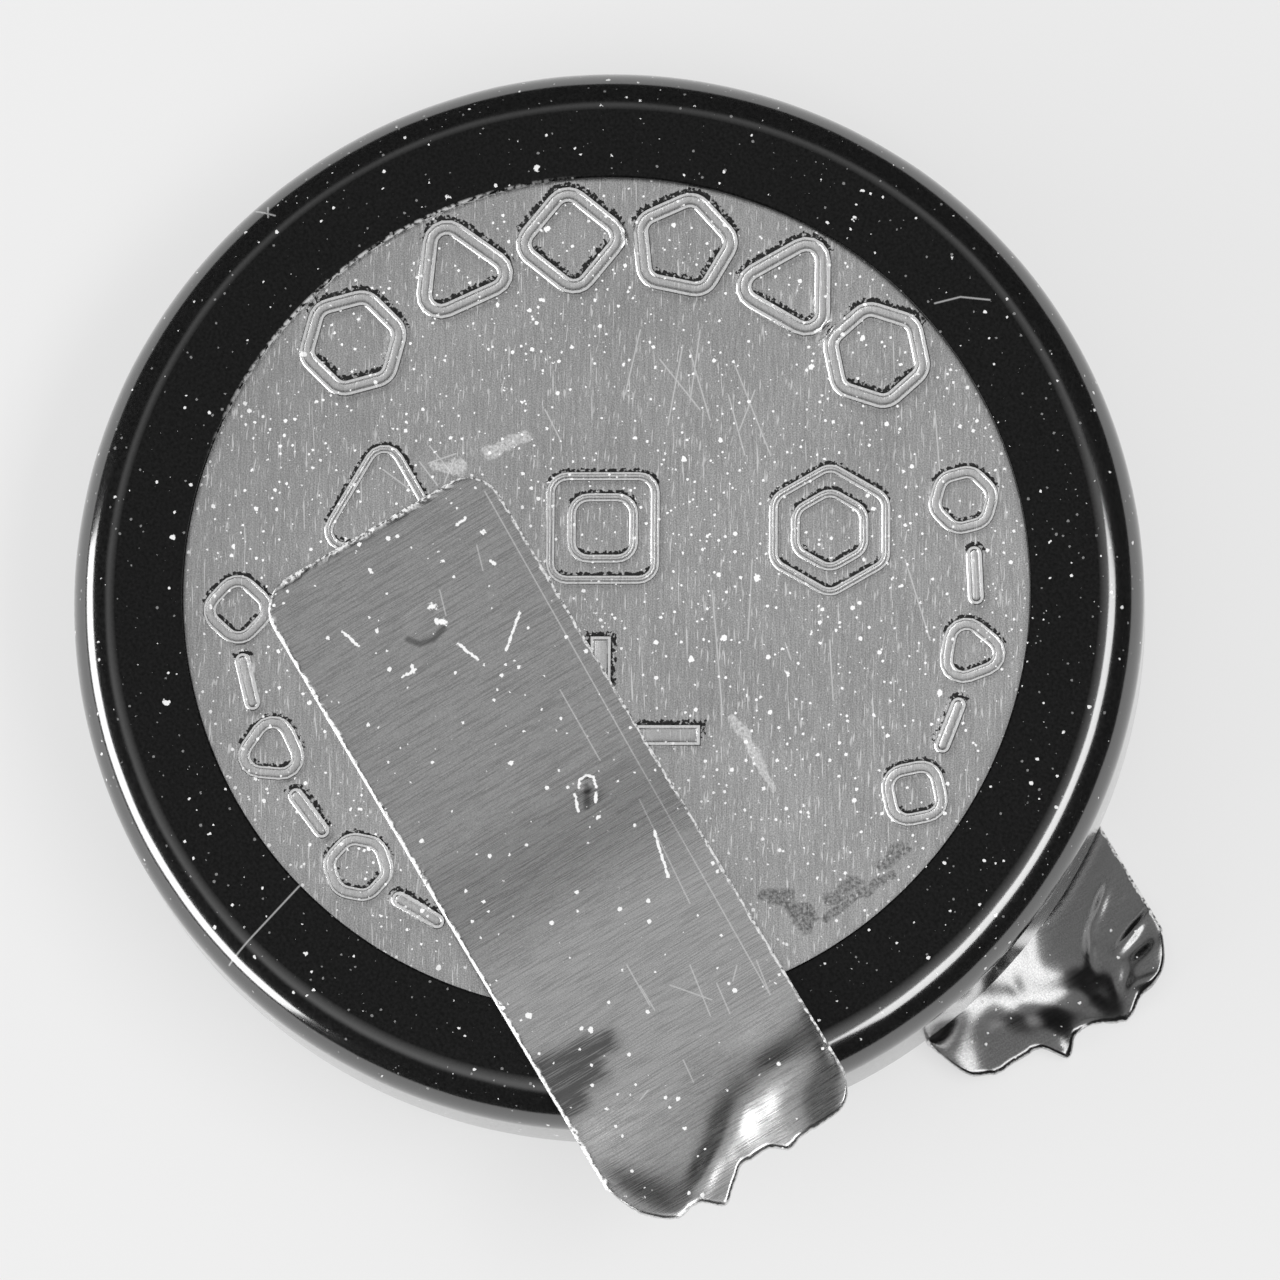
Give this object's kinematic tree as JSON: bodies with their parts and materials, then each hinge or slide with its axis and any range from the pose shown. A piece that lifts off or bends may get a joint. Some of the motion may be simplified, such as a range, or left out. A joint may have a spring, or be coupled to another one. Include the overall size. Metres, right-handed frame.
{
  "type": "lithium coin cell with welded tabs",
  "caption": "Lithium coin cell in a black heat-shrunk sleeve, with a flat steel tab welded to each face and both tab ends torn off and crushed",
  "frame": {"origin": "middle of the steel cell, on its axis at half its height", "axes": "+Z out of the positive face, +X along both tabs towards their torn ends, +Y to the side of the negative tab"},
  "size_m": [0.0137, 0.0128, 0.0027],
  "materials": {
    "can_steel": "finely brushed stainless sheet with scratches, dust and stamped marks",
    "cap_steel": "satin stainless sheet",
    "gasket_plastic": "moulded sealing ring, matt",
    "cathode_mix": "pressed powder, matt black",
    "collector_steel": "thin stainless sheet",
    "separator_felt": "white nonwoven felt",
    "lithium_foil": "soft dull silver metal",
    "sleeve_film": "black shrunk film, satin on the flats and glossy on the rounded edges",
    "tab_steel": "nickel-plated steel strip, finely brushed across its length, bright burrs on its edges",
    "tab_bright": "nickel-plated steel strip, bright where it is crushed"
  },
  "bodies": {
    "root": {"positive_can": "can_steel", "negative_cap": "cap_steel", "gasket": "gasket_plastic", "cathode_pellet": "cathode_mix", "collector_ring": "collector_steel", "separator": "separator_felt", "lithium_disc": "lithium_foil", "sleeve": "sleeve_film", "positive_tab": "tab_steel", "negative_tab": "tab_bright"}
  },
  "joints": []
}
